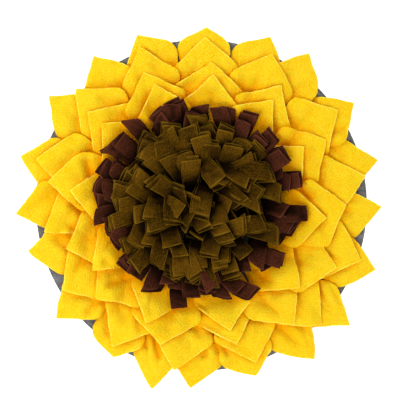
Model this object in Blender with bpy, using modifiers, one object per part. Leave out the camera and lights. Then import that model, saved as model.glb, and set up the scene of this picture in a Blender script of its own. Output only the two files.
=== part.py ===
"""A sunflower snuffle mat: fleece petals and fleece strips sewn onto a round felt base.

The origin is in the middle of the base's underside, +Z is up and +Y is the top of the flower.
Lengths are in metres, and the tables give them in millimetres.
"""

import math
import random

import bmesh
import bpy
import numpy as np

MM = 0.001

# The felt base
BASE_RADIUS = 200 * MM
BASE_THICKNESS = 3 * MM
BASE_SIDES = 80

# The fleece, the air between two petals that lie on each other, and the gap between other pieces
FLEECE = 2.0 * MM
AIR = 0.45 * MM
GAP = 0.3 * MM
FLOOR_CLEARANCE = 0.5 * MM

# A petal is a square of fleece with one corner pointing out. The opposite corner is pinched and
# sewn down on its ring's seam circle. Places down a petal run from 0 at its tip to 1 at its root,
# and places across it from 0 in its middle to 1 at its sides.
PETAL_CELLS = 5
PETAL_CROWN = 5 * MM
CROWN_TOWARDS_TIP = 0.8
CROWN_LOST_AT_SIDES = 0.75
PETAL_PINCH = 0.75
PINCHED = (0.55, 1)
PLEAT_SHARE = 0.6
PLEAT_WIDTH = 0.35
PLEAT_DEEPENS = (0.5, 0.75)
PLEAT_ENDS = (0.9, 1)
SIDE_DROP = 4 * MM
SIDES_ROLL = (0.5, 1)
ROLL_STARTS = (0.3, 0.5)
SEAM_BAND_WIDTH = 5 * MM

# One row for each petal, in the order in which the petals of a ring are laid, lowest first.
# angle: where its tip stands around the mat, in degrees from +X; reach: its tip from the middle,
# in mm; turn: how far it points away from straight out, in degrees; spread: its tip's corner.
OUTER_RING = (
    # angle, reach, turn, spread
    (67.8, 220, -6, 97),
    (88.4, 215, -2, 117),
    (110.6, 219, 9, 102),
    (125.7, 222, -7, 91),
    (144.6, 226, -3, 88),
    (165.3, 225, 3, 92),
    (-177.1, 224, 11, 76),
    (-165.1, 216, -11, 89),
    (14.1, 220, -6, 82),
    (33.9, 222, 1, 88),
    (54.6, 225, 7, 89),
    (-0.5, 217, 12, 82),
    (-20.5, 224, 6, 89),
    (-39.2, 230, 4, 77),
    (-53.8, 231, 6, 77),
    (-93.4, 221, -7, 88),
    (-72.4, 215, 5, 110),
    (-105.1, 230, 7, 73),
    (-120.1, 212, 16, 118),
    (-142.0, 222, 0, 82),
)
SECOND_RING = (
    # angle, reach, turn, spread
    (88.6, 202, 3, 95),
    (65.1, 201, 7, 94),
    (111.5, 203, -3, 84),
    (34.7, 199, -5, 94),
    (9.8, 199, 3, 84),
    (-45.2, 203, 1, 87),
    (-19.2, 202, 0, 91),
    (-99.4, 199, -3, 89),
    (-70.9, 200, 0, 89),
    (-122.1, 200, 2, 80),
    (-148.4, 195, 2, 97),
    (-170.1, 190, 24, 75),
    (137.6, 204, 2, 86),
    (164.4, 206, 8, 85),
)
THIRD_RING = (
    # angle, reach, turn, spread
    (86.0, 171, -1, 107),
    (56.4, 171, 1, 93),
    (27.5, 168, 3, 99),
    (-76.0, 172, 4, 93),
    (-52.3, 180, 1, 90),
    (-24.6, 177, 15, 93),
    (-0.2, 172, 16, 106),
    (-106.2, 173, 7, 108),
    (-138.2, 167, -4, 103),
    (-161.7, 169, 2, 97),
    (140.6, 175, 4, 97),
    (171.4, 185, 9, 86),
    (113.4, 173, -3, 91),
)
INNER_RING = (
    # angle, reach, turn, spread
    (84.6, 155, -1, 89),
    (56.0, 151, -5, 83),
    (29.7, 141, 13, 91),
    (-40.5, 152, 1, 90),
    (-6.0, 150, 6, 90),
    (-77.0, 153, -1, 92),
    (-115.3, 155, 3, 87),
    (-148.5, 150, 15, 78),
    (173.8, 156, -3, 88),
    (141.0, 153, -2, 96),
    (111.1, 154, -5, 86),
)
RINGS = (
    # name, radius of the seam circle, cut side of a petal, petals
    ("outer_petal", 158, 49, OUTER_RING),
    ("second_petal", 133, 54, SECOND_RING),
    ("third_petal", 108, 52, THIRD_RING),
    ("inner_petal", 84, 49, INNER_RING),
)

# A strip stands up from its backing, bends over outwards and ends in a square cut. Its outer half
# lies in the pile of strips, where each tier is a layer above the tier outside it.
STRIP_THICKNESS = 1.8 * MM
STRIP_ROOT_WIDTH = 8.5 * MM
STRIP_WIDTH = 19 * MM
STRIP_STATIONS = (0, 0.22, 0.42, 0.7, 1)
STRIP_WIDENS = (0.1, 0.85)
RISES_UNTIL = 0.35
BENDS_FROM = 0.1
BEND_POWER = 1.3
BACKING_THICKNESS = 2.2 * MM
BACKING_SIDES = 36
ROOT_DEPTH = 1.2 * MM

# The pile of strips is a dome, highest in the middle.
DOME_TOP = 64 * MM
DOME_RIM = 29 * MM
LAYER = 5.2 * MM
STAGGER = 1.2 * MM

# One row for each tier of strips, lowest and outermost first. root: radius of its sewn circle;
# reach: how far out its ends are, both in mm.
BROWN_BACKING_RADIUS = 74 * MM
BROWN_TIERS = (
    # count, root, reach
    (24, 70, 123),
    (24, 63, 114),
)
OLIVE_BACKING_RADIUS = 59 * MM
OLIVE_TIERS = (
    # count, root, reach
    (28, 55, 105),
    (25, 48, 92),
    (21, 41, 79),
    (17, 34, 65),
    (13, 26, 51),
    (9, 18, 37),
    (5, 10, 24),
    (3, 5.5, 15),
)
TIERS = BROWN_TIERS + OLIVE_TIERS
REACH_VARIES = 2.5 * MM
DRIFT = 3 * MM
YAW = math.radians(8)
STRIP_SEED = 11

# The pile is sewn a little off the middle of the mat, and its innermost strips lean off further.
PILE_MIDDLE = np.array((-3, 2)) * MM
LEAN = np.array((-9, 6)) * MM
LEAN_WITHIN = 68 * MM

# The grid of heights on which the pieces are laid. Cloth bridges hollows narrower than BRIDGED
# cells each way, and a slope counts as no steeper than one whose normal has the rise STEEPEST.
CELL = 2 * MM
HALF_CELLS = 122
BRIDGED = 4
STEEPEST = 0.35

YELLOW = (0.96, 0.62, 0.01)
BROWN = (0.06, 0.018, 0.012)
OLIVE = (0.11, 0.065, 0.008)
GREY = (0.12, 0.12, 0.125)


def smooth(low, high, value):
    """0 below low, 1 above high and a soft step between them."""
    part = np.clip((value - low) / (high - low), 0, 1)
    return part * part * (3 - 2 * part)


def around(field, cells, gather):
    """gather (a maximum or a mean) of the heights up to so many cells each way of each height."""
    for axis in (0, 1):
        shifted = [np.roll(field, step, axis) for step in range(-cells, cells + 1)]
        field = gather(shifted, axis=0)
    return field


class Pile:
    """The height of all that has been laid so far, on a square grid of cells."""

    def __init__(self):
        across = (np.arange(2 * HALF_CELLS + 1) - HALF_CELLS) * CELL
        x, y = np.meshgrid(across, across, indexing="ij")
        on_base = np.hypot(x, y) < BASE_RADIUS + CELL
        self.top = np.where(on_base, BASE_THICKNESS, FLOOR_CLEARANCE)

    def support(self):
        """The soft surface that cloth laid on the pile takes."""
        return around(around(self.top, BRIDGED, np.max), BRIDGED, np.mean)

    def cells_under(self, corners):
        """The grid cells under a triangle, with the triangle's height over each."""
        low = np.ceil(corners[:, :2].min(axis=0) / CELL).astype(int)
        high = np.floor(corners[:, :2].max(axis=0) / CELL).astype(int)
        i, j = np.meshgrid(
            np.arange(low[0], high[0] + 1), np.arange(low[1], high[1] + 1), indexing="ij"
        )
        first, along, beside = corners[0], corners[1] - corners[0], corners[2] - corners[0]
        area = along[0] * beside[1] - along[1] * beside[0]
        if i.size == 0 or abs(area) < 1e-9:
            return None
        x, y = i * CELL - first[0], j * CELL - first[1]
        u = (x * beside[1] - y * beside[0]) / area
        v = (along[0] * y - along[1] * x) / area
        inside = (u >= 0) & (v >= 0) & (u + v <= 1)
        height = first[2] + u * along[2] + v * beside[2]
        return i[inside] + HALF_CELLS, j[inside] + HALF_CELLS, height[inside]

    def rest(self, points):
        """Lifts the sheet's points until no triangle of it meets what lies under it."""
        keep_off = around(self.top, 1, np.max) + AIR
        points[..., 2] = np.maximum(points[..., 2], keep_off[cells_at(points)])
        lift = np.zeros(points.shape[:2])
        for index, corners in triangles(points):
            under = self.cells_under(corners)
            if under is None or under[0].size == 0:
                continue
            i, j, height = under
            short = np.max(keep_off[i, j] - height)
            for corner in index:
                lift[corner] = max(lift[corner], short)
        points[..., 2] += lift

    def add(self, points, thickness):
        """Stamps the sheet's upper side into the pile."""
        np.maximum.at(self.top, cells_at(points), points[..., 2] + thickness)
        for _, corners in triangles(points):
            under = self.cells_under(corners)
            if under is None or under[0].size == 0:
                continue
            i, j, height = under
            normal = np.cross(corners[1] - corners[0], corners[2] - corners[0])
            level = max(abs(normal[2]) / np.linalg.norm(normal), STEEPEST)
            self.top[i, j] = np.maximum(self.top[i, j], height + thickness / level)


def cells_at(points):
    """The grid cell nearest to each point."""
    nearest = np.rint(points[..., :2] / CELL).astype(int) + HALF_CELLS
    return nearest[..., 0], nearest[..., 1]


def triangles(points):
    """The triangles of a grid of points, each quad cut both ways."""
    for i in range(points.shape[0] - 1):
        for j in range(points.shape[1] - 1):
            ring = ((i, j), (i + 1, j), (i + 1, j + 1), (i, j + 1))
            for left_out in range(4):
                index = ring[:left_out] + ring[left_out + 1 :]
                yield index, np.array([points[corner] for corner in index])


def petal_points(row, seam_radius, side, cells):
    """A petal's grid of points before it is laid, with its heights above what it rests on."""
    angle, reach, turn, spread = row
    angle, half = math.radians(angle), math.radians(spread) / 2
    faces = angle + math.radians(turn)
    out = np.array((math.cos(faces), math.sin(faces)))
    left = np.array((-out[1], out[0]))
    tip = reach * MM * np.array((math.cos(angle), math.sin(angle)))
    length = tip @ out - math.sqrt(seam_radius**2 - (tip @ left) ** 2)

    steps = np.linspace(0, 1, cells + 1)
    a, b = np.meshgrid(steps, steps, indexing="ij")
    down = (a + b) / 2
    room = np.maximum(np.minimum(down, 1 - down), 1e-6)
    edge = (a - b) / 2 / room
    cut = side * math.cos(half)
    inward = np.where(down < 0.5, 2 * cut * down, cut + (length - cut) * (2 * down - 1))
    gather = 1 - (1 - PETAL_PINCH) * smooth(*PINCHED, down)
    across = side * math.sin(half) * np.minimum(2 * down, gather) * edge

    belly = np.sin(math.pi * down**CROWN_TOWARDS_TIP) * (1 - CROWN_LOST_AT_SIDES * edge**2)
    pleat = smooth(*PLEAT_DEEPENS, down) * (1 - smooth(*PLEAT_ENDS, down))
    pleat *= np.exp(-((edge / PLEAT_WIDTH) ** 2))
    rolled = smooth(*SIDES_ROLL, np.abs(edge)) * smooth(*ROLL_STARTS, down)
    height = PETAL_CROWN * (belly - PLEAT_SHARE * pleat) - SIDE_DROP * rolled
    flat = tip - inward[..., None] * out + across[..., None] * left
    return np.dstack((flat, height))


def lay_petal(pile, row, seam_radius, side):
    """A petal's points as it lies on the pile. The pile then holds it too."""
    points = petal_points(row, seam_radius, side, PETAL_CELLS)
    points[..., 2] += pile.support()[cells_at(points)] + AIR
    pile.rest(points)
    pile.add(points, FLEECE)
    return points


def tier_height(level, distance):
    """The height of a tier's layer at a distance from the middle of the mat."""
    reaches = [reach * MM for _, _, reach in reversed(TIERS)]
    levels = list(range(len(TIERS) - 1, -1, -1))
    deep = np.interp(distance, [0, *reaches], [len(TIERS), *levels]) - level
    dome = DOME_TOP - (DOME_TOP - DOME_RIM) * (distance / reaches[-1]) ** 2
    return dome - LAYER * deep


def leaning(flat):
    """A point of the round pile, moved to where the leaning pile has it."""
    inside = max(1 - (np.hypot(*flat) / LEAN_WITHIN) ** 2, 0)
    return PILE_MIDDLE + flat + LEAN * inside**2


def strip_points(level, number, backing_top, angle, rng):
    """A strip's grid of points: a station for each row, and its two long edges."""
    _, root, reach = TIERS[level]
    root, reach = root * MM, reach * MM + rng.uniform(-REACH_VARIES, REACH_VARIES)
    drift, yaw = rng.uniform(-DRIFT, DRIFT), rng.uniform(-YAW, YAW)
    stagger = STAGGER if number % 2 else -STAGGER
    out = np.array((math.cos(angle), math.sin(angle)))
    left = np.array((-out[1], out[0]))
    foot = backing_top - ROOT_DEPTH
    rows = []
    for along in STRIP_STATIONS:
        risen = math.sin(min(along / RISES_UNTIL, 1) * math.pi / 2)
        bent = max(along - BENDS_FROM, 0) / (1 - BENDS_FROM)
        middle = (root + (reach - root) * bent**BEND_POWER) * out + drift * along**2 * left
        width = STRIP_ROOT_WIDTH + (STRIP_WIDTH - STRIP_ROOT_WIDTH) * smooth(*STRIP_WIDENS, along)
        turn = yaw * along**2
        across = 0.5 * width * (math.cos(turn) * left - math.sin(turn) * out)
        row = []
        for flat in (middle - across, middle + across):
            lies = tier_height(level, np.hypot(*flat)) + stagger
            row.append((*leaning(flat), foot + (lies - foot) * risen))
        rows.append(row)
    return np.array(rows)


def tier_strips(level, backing_top, rng):
    """The strips of one tier, every second one a little higher than its neighbours."""
    count = TIERS[level][0]
    first = rng.uniform(0, 2 * math.pi / count)
    return [
        strip_points(level, number, backing_top, first + 2 * math.pi * number / count, rng)
        for number in range(count)
    ]


def material(name, colour):
    """A matt fleece or felt of one colour."""
    made = bpy.data.materials.new(name)
    made.use_nodes = True
    shader = made.node_tree.nodes["Principled BSDF"]
    shader.inputs["Base Color"].default_value = (*colour, 1)
    shader.inputs["Roughness"].default_value = 0.95
    shader.inputs["Metallic"].default_value = 0
    return made


def add_sheet(form, points, origin):
    """Adds a grid of cloth through the points, its upper side facing up."""
    rows, columns = points.shape[:2]
    grid = bmesh.ops.create_grid(form, x_segments=rows - 1, y_segments=columns - 1, size=0.5)
    for vertex in grid["verts"]:
        i = round((vertex.co.x + 0.5) * (rows - 1))
        j = round((vertex.co.y + 0.5) * (columns - 1))
        vertex.co = points[i, j] - origin


def cloth(name, sheets, thickness, finish, collection, origin=(0, 0, 0)):
    """One object of open sheets of cloth, with the thickness added above them."""
    form = bmesh.new()
    for points in sheets:
        add_sheet(form, points, np.array(origin))
    mesh = bpy.data.meshes.new(name)
    form.to_mesh(mesh)
    form.free()
    mesh.materials.append(finish)
    made = bpy.data.objects.new(name, mesh)
    made.location = origin
    collection.objects.link(made)
    body = made.modifiers.new("thickness", "SOLIDIFY")
    body.thickness = thickness
    body.offset = 1
    return made


def disc(name, radius, low, high, sides, finish, collection, middle=(0, 0)):
    """A flat round piece of felt or backing between two heights."""
    bpy.ops.mesh.primitive_cylinder_add(
        vertices=sides, radius=radius, depth=high - low, location=(*middle, (low + high) / 2)
    )
    made = bpy.context.object
    for held_in in made.users_collection:
        held_in.objects.unlink(made)
    collection.objects.link(made)
    made.name = name
    made.data.name = name
    made.data.materials.append(finish)
    return made


def sew(backing, strips):
    """Makes the strips one body with the backing that holds their roots."""
    strips.hide_render = True
    strips.display_type = "WIRE"
    seam = backing.modifiers.new("seam", "BOOLEAN")
    seam.operation = "UNION"
    seam.solver = "EXACT"
    seam.object = strips


def seam_band(radius, low, high, finish, collection, helpers):
    """The narrow ring of tape on which the innermost petals are sewn."""
    outer, inner = radius + SEAM_BAND_WIDTH / 2, radius - SEAM_BAND_WIDTH / 2
    band = disc("inner_petals", outer, low, high, BACKING_SIDES, finish, collection)
    hole = disc("band_hole", inner, low - MM, high + MM, BACKING_SIDES, finish, helpers)
    hole.hide_render = True
    hole.display_type = "WIRE"
    cut = band.modifiers.new("hole", "BOOLEAN")
    cut.operation = "DIFFERENCE"
    cut.solver = "EXACT"
    cut.object = hole
    return band


def main():
    for left in list(bpy.data.objects):
        bpy.data.objects.remove(left, do_unlink=True)
    mat = bpy.data.collections.new("snuffle_mat")
    helpers = bpy.data.collections.new("cutters")
    bpy.context.scene.collection.children.link(mat)
    bpy.context.scene.collection.children.link(helpers)

    grey = material("grey_felt", GREY)
    yellow = material("yellow_fleece", YELLOW)
    brown = material("brown_fleece", BROWN)
    olive = material("olive_fleece", OLIVE)

    made = [disc("base_disc", BASE_RADIUS, 0, BASE_THICKNESS, BASE_SIDES, grey, mat)]
    pile = Pile()
    low = BASE_THICKNESS + GAP
    high = low + BACKING_THICKNESS

    for name, seam_radius, side, rows in RINGS:
        seam_radius, side = seam_radius * MM, side * MM
        if rows is INNER_RING:
            sheets = [lay_petal(pile, row, seam_radius, side) for row in rows]
            petals = cloth("sewn_petals", sheets, FLEECE, yellow, helpers)
            band = seam_band(seam_radius, low, high, yellow, mat, helpers)
            sew(band, petals)
            made.append(band)
            continue
        for number, row in enumerate(rows, 1):
            points = lay_petal(pile, row, seam_radius, side)
            root = points[-1, -1].copy()
            made.append(cloth(f"{name}_{number:02d}", [points], FLEECE, yellow, mat, root))

    rng = random.Random(STRIP_SEED)
    for name, levels, radius, finish in (
        ("brown_strips", range(len(BROWN_TIERS)), BROWN_BACKING_RADIUS, brown),
        ("olive_strips", range(len(BROWN_TIERS), len(TIERS)), OLIVE_BACKING_RADIUS, olive),
    ):
        backing = disc(name, radius, low, high, BACKING_SIDES, finish, mat, PILE_MIDDLE)
        sheets = [points for level in levels for points in tier_strips(level, high, rng)]
        sew(backing, cloth(f"loose_{name}", sheets, STRIP_THICKNESS, finish, helpers))
        made.append(backing)
        low = high + GAP
        high = low + BACKING_THICKNESS

    whole = bpy.data.objects.new("snuffle_mat", None)
    mat.objects.link(whole)
    for piece in made:
        piece.parent = whole


main()
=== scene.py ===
"""The looks of a sunflower snuffle mat: polar fleece petals and strips on a needled felt base.

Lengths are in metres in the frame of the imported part, and in millimetres in the tables and where
a comment says so. Each petal and strip is laid in turn on the height of all that lies under it.
"""

import math
import random

import bmesh
import bpy
import numpy as np
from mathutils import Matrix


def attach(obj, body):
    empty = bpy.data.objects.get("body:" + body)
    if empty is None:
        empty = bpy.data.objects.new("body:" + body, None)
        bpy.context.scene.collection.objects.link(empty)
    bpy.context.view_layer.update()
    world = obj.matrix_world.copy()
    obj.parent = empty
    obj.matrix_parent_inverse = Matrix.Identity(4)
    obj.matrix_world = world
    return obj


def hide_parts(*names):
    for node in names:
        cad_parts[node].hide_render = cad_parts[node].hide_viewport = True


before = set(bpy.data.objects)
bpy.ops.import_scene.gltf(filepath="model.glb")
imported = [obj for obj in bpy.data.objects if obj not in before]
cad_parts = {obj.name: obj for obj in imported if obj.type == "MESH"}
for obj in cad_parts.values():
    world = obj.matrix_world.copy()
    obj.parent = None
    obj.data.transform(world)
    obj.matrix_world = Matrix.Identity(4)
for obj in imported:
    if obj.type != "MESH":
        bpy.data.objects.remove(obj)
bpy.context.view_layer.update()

MM = 0.001

# ---- sizes and tables of the mat -------------------------------------------------------------

BASE_RADIUS = 200 * MM
BASE_THICKNESS = 3 * MM

# The thickness of the petals' fleece, the air under each petal, and how far the petals that reach
# past the base stay off the floor.
FLEECE = 2.0 * MM
AIR = 0.45 * MM
FLOOR_CLEARANCE = 0.5 * MM

# One row for each petal, in the order in which the petals of a ring are laid, lowest first.
# angle: where its tip stands around the mat, in degrees from +X; reach: its tip from the middle,
# in mm; turn: how far it points away from straight out, in degrees; spread: its tip's corner.
OUTER_RING = (
    # angle, reach, turn, spread
    (67.8, 220, -6, 97),
    (88.4, 215, -2, 117),
    (110.6, 219, 9, 102),
    (125.7, 222, -7, 91),
    (144.6, 226, -3, 88),
    (165.3, 225, 3, 92),
    (-177.1, 224, 11, 76),
    (-165.1, 216, -11, 89),
    (14.1, 220, -6, 82),
    (33.9, 222, 1, 88),
    (54.6, 225, 7, 89),
    (-0.5, 217, 12, 82),
    (-20.5, 224, 6, 89),
    (-39.2, 230, 4, 77),
    (-53.8, 231, 6, 77),
    (-93.4, 221, -7, 88),
    (-72.4, 215, 5, 110),
    (-105.1, 230, 7, 73),
    (-120.1, 212, 16, 118),
    (-142.0, 222, 0, 82),
)
SECOND_RING = (
    # angle, reach, turn, spread
    (88.6, 202, 3, 95),
    (65.1, 201, 7, 94),
    (111.5, 203, -3, 84),
    (34.7, 199, -5, 94),
    (9.8, 199, 3, 84),
    (-45.2, 203, 1, 87),
    (-19.2, 202, 0, 91),
    (-99.4, 199, -3, 89),
    (-70.9, 200, 0, 89),
    (-122.1, 200, 2, 80),
    (-148.4, 195, 2, 97),
    (-170.1, 190, 24, 75),
    (137.6, 204, 2, 86),
    (164.4, 206, 8, 85),
)
THIRD_RING = (
    # angle, reach, turn, spread
    (86.0, 171, -1, 107),
    (56.4, 171, 1, 93),
    (27.5, 168, 3, 99),
    (-76.0, 172, 4, 93),
    (-52.3, 180, 1, 90),
    (-24.6, 177, 15, 93),
    (-0.2, 172, 16, 106),
    (-106.2, 173, 7, 108),
    (-138.2, 167, -4, 103),
    (-161.7, 169, 2, 97),
    (140.6, 175, 4, 97),
    (171.4, 185, 9, 86),
    (113.4, 173, -3, 91),
)
INNER_RING = (
    # angle, reach, turn, spread
    (84.6, 155, -1, 89),
    (56.0, 151, -5, 83),
    (29.7, 141, 13, 91),
    (-40.5, 152, 1, 90),
    (-6.0, 150, 6, 90),
    (-77.0, 153, -1, 92),
    (-115.3, 155, 3, 87),
    (-148.5, 150, 15, 78),
    (173.8, 156, -3, 88),
    (141.0, 153, -2, 96),
    (111.1, 154, -5, 86),
)

# The petals' main creases, each a line from one place of the mat to another. The number is
# its petal's place in the ring's table, the rest is in mm, and a ridge's depth is below 0.
OUTER_CREASES = (
    # petal, from x, y, to x, y, width, depth
    (1, 57, 168, 76, 180, 5, 1.75),
    (3, -50, 183, -36, 171, 6.5, 2.25),
    (4, -128, 142, -96, 145, 6.5, 2.5),
    (5, -151, 82, -146, 99, 6.5, 2.25),
    (6, -198, 54, -167, 73, 6, 2.5),
    (7, -201, -5, -173, 18, 8, 3),
    (8, -173, -42, -158, -54, 5, 3.5),
    (9, 154, 72, 171, 59, 4.5, 2.5),
    (10, 155, 88, 172, 92, 4.5, 2.5),
    (11, 105, 133, 131, 142, 6, 2.25),
    (12, 167, -6, 179, -11, 5, 2.5),
    (13, 152, -84, 171, -75, 5, 2.25),
    (14, 153, -90, 166, -118, 4, 3),
    (14, 143, -106, 156, -123, 4, 2.5),
    (15, 91, -145, 113, -164, 5, 3.25),
    (15, 119, -143, 134, -153, 4.5, 3),
    (16, 2, -164, 4, -180, 4, 3.25),
    (16, 14, -161, 20, -174, 4, 3.5),
    (17, 19, -162, 30, -177, 4.5, 3.5),
    (18, -71, -156, -66, -170, 4, 4),
    (18, -54, -162, -51, -182, 4, 4.25),
    (19, -115, -135, -111, -152, 5, 2.25),
    (20, -119, -113, -136, -129, 4.5, 3.5),
    (20, -116, -113, -116, -129, 4, 3.5),
    (20, -158, -110, -134, -113, 6.5, 2.25),
)
SECOND_CREASES = (
    # petal, from x, y, to x, y, width, depth
    (2, 49, 147, 56, 133, 6.5, 2.25),
    (3, -55, 164, -31, 149, 6.5, 2.25),
    (4, 108, 99, 131, 92, 6.5, 2.25),
    (5, 139, 29, 164, 23, 6, 3.5),
    (6, 115, -102, 119, -131, 5, 2.25),
    (7, 149, -59, 165, -68, 5, 2.25),
    (8, -14, -142, -2, -156, 5, 2.5),
    (9, 39, -167, 60, -176, 5, 1.75),
    (10, -100, -125, -91, -135, 6.5, 2.25),
    (10, -76, -140, -73, -149, 5, 2.25),
    (11, -146, -70, -152, -93, 6.5, 1.75),
    (12, -155, -1, -141, -13, 5, 4),
    (12, -160, -35, -151, -40, 5, -7),
    (13, -117, 125, -97, 121, 6, 2.5),
    (14, -183, 37, -153, 59, 6.5, 2.5),
)
THIRD_CREASES = (
    # petal, from x, y, to x, y, width, depth
    (1, 29, 149, 43, 130, 5, 2.25),
    (3, 117, 85, 103, 70, 6.5, 3.5),
    (4, 4, -143, 37, -159, 5, 2.5),
    (5, 70, -116, 90, -128, 6.5, 3.25),
    (6, 113, -56, 117, -68, 5, 3.5),
    (7, 112, 23, 129, 11, 6.5, 3),
    (8, -57, -145, -39, -152, 8, 2.25),
    (8, -35, -133, -23, -135, 8, -2.25),
    (9, -109, -96, -86, -87, 4.5, 3.5),
    (9, -123, -80, -123, -86, 4, 3),
    (10, -125, -25, -139, -49, 8, 3.25),
    (11, -108, 104, -86, 106, 6.5, 2.25),
    (12, -139, 51, -131, 32, 5, 4.25),
)
INNER_CREASES = (
    # petal, from x, y, to x, y, width, depth
    (1, 2, 131, 14, 128, 8, 2.25),
    (4, 62, -76, 79, -90, 6.5, 3.25),
    (5, 112, 6, 124, -8, 6.5, 2.5),
    (6, -10, -118, 1, -125, 5, 3),
    (6, -2, -127, 0, -129, 5, -3),
    (7, -74, -109, -62, -125, 6.5, 2.25),
    (8, -113, -68, -102, -75, 4.5, 3.5),
    (8, -105, -74, -103, -77, 5, -3.5),
    (10, -113, 92, -96, 87, 6.5, 2.25),
)
RINGS = (
    # name, radius of the seam circle, cut side of a petal, half of its greatest width, how round
    # its shoulders are, petals, creases
    ("outer_petal", 158, 49, 32.5, 0.19, OUTER_RING, OUTER_CREASES),
    ("second_petal", 133, 54, 42, 0.09, SECOND_RING, SECOND_CREASES),
    ("third_petal", 108, 52, 42, 0.09, THIRD_RING, THIRD_CREASES),
    ("inner_petal", 84, 49, 42, 0.09, INNER_RING, INNER_CREASES),
)

# The strips stand up from the base in clusters and arch over to where their ends show.
STRIP_THICKNESS = 2.2 * MM
STRIP_WIDTH = 20 * MM
STRIP_LENGTH = 50 * MM
# The strips of a cluster are at least this far apart, like the pages of a book.
PAGE = 2.8 * MM
# Their width and height at their roots, and how steeply they stand there, in degrees.
STRIP_ROOT_WIDTH = 15 * MM
ROOT_HEIGHT = 4.3 * MM
ROOT_SLOPE = 82

# The dome that the strips' ends lie on: its middle, its height there, and the height to which it
# falls at a radius.
PILE_MIDDLE = np.array((-3, 3)) * MM
DOME_TOP = 59 * MM
DOME_RIM = 25 * MM
DOME_RADIUS = 125 * MM

# Strips between the clusters' roots, deep in the pile: olive ones in a sunflower's spiral and
# brown ones in a ring. Their ends are so far below the dome, and rise by a slope in degrees.
OLIVE_UPRIGHTS = 27
UPRIGHT_SPACING = 11.5 * MM
OLIVE_UPRIGHTS_BELOW = 21 * MM
BROWN_UPRIGHTS = 17
BROWN_UPRIGHTS_RADIUS = 87 * MM
BROWN_UPRIGHTS_BELOW = 24 * MM
UPRIGHT_SLOPE = 30
# The last olive ones stand in gaps between the clusters instead, at these places in mm.
UPRIGHTS_IN_GAPS = ((56, -9), (68, -15), (50, -38))

# One row for each cluster, in the order in which they lie, lowest first.
# x, y: the middle of its lowest strip's cut end, in mm; way: where it points, in degrees from +X;
# slope: how the end rises, in degrees; cup: how its long edges curl up, in mm.
BROWN_CLUSTERS = (
    # x, y, way, slope, strips, cup
    (-34, 125, 110, -20, 3, 0),
    (-55, 110, 108, -25, 3, 0),
    (-84, 100, 125, -20, 2, 0),
    (-120, 47, 147, -25, 3, 0),
    (-111, 68, 152, -30, 3, 0),
    (-100, 78, 140, -25, 2, 0),
    (-126, 24, 170, -35, 2, -3),
    (-124, 4, 178, -25, 2, 0),
    (-126, -14, 190, -25, 1, 0),
    (-113, -28, 205, -30, 2, 0),
    (-104, -46, 205, -35, 2, 0),
    (-94, -74, 216, -30, 4, 0),
    (-78, -84, 232, -30, 1, 0),
    (-60, -103, 255, -25, 2, -2),
    (-27, -123, 270, -20, 1, 0),
    (-29, -99, 266, -20, 1, 0),
    (-11, -109, 268, -25, 1, 0),
    (26, -110, 285, -25, 2, 0),
    (7, -106, 262, -25, 2, 0),
    (63, -105, 328, -25, 2, 0),
    (45, -100, 300, -20, 1, 0),
    (80, -74, 300, -25, 1, 0),
    (96, -66, 343, -25, 2, 0),
    (97, -41, 340, -30, 1, 0),
    (110, -28, 343, -30, 3, 0),
    (125, -12, 356, -15, 1, 0),
    (119, 30, 5, -25, 2, 0),
    (104, 24, 350, -25, 1, 0),
    (94, 44, 20, -30, 1, 0),
    (100, 61, 35, -25, 3, 0),
    (85, 85, 46, -25, 2, 0),
    (59, 110, 66, -20, 2, 0),
    (31, 115, 86, -25, 1, 0),
    (19, 114, 93, -25, 1, 0),
    (-1, 117, 95, -20, 1, -2),
    (-34, 117, 92, -25, 1, 0),
    (-53, 99, 110, -25, 1, 0),
    (-106, 46, 150, -35, 2, -2),
    (-116, 18, 175, -35, 1, -2),
    (-40, -93, 262, -30, 1, 0),
    (15, -98, 286, -30, 3, 0),
    (48, -79, 285, -15, 1, 0),
    (65, -72, 250, -15, 1, 0),
    (99, -8, 330, 15, 1, 2),
    (72, 80, 50, -25, 2, 0),
    (50, 98, 62, -25, 2, 0),
    (-11, 109, 92, -25, 2, 0),
)
# The brown clusters that lie straight, without a twist or a bend. Their strips are longer than the
# others, so that they reach over the petals from inside the petals' seam.
STRAIGHT_ENDS = ((-27, -123), (125, -12), (-34, 125))
STRAIGHT_LENGTH = 66 * MM
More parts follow.
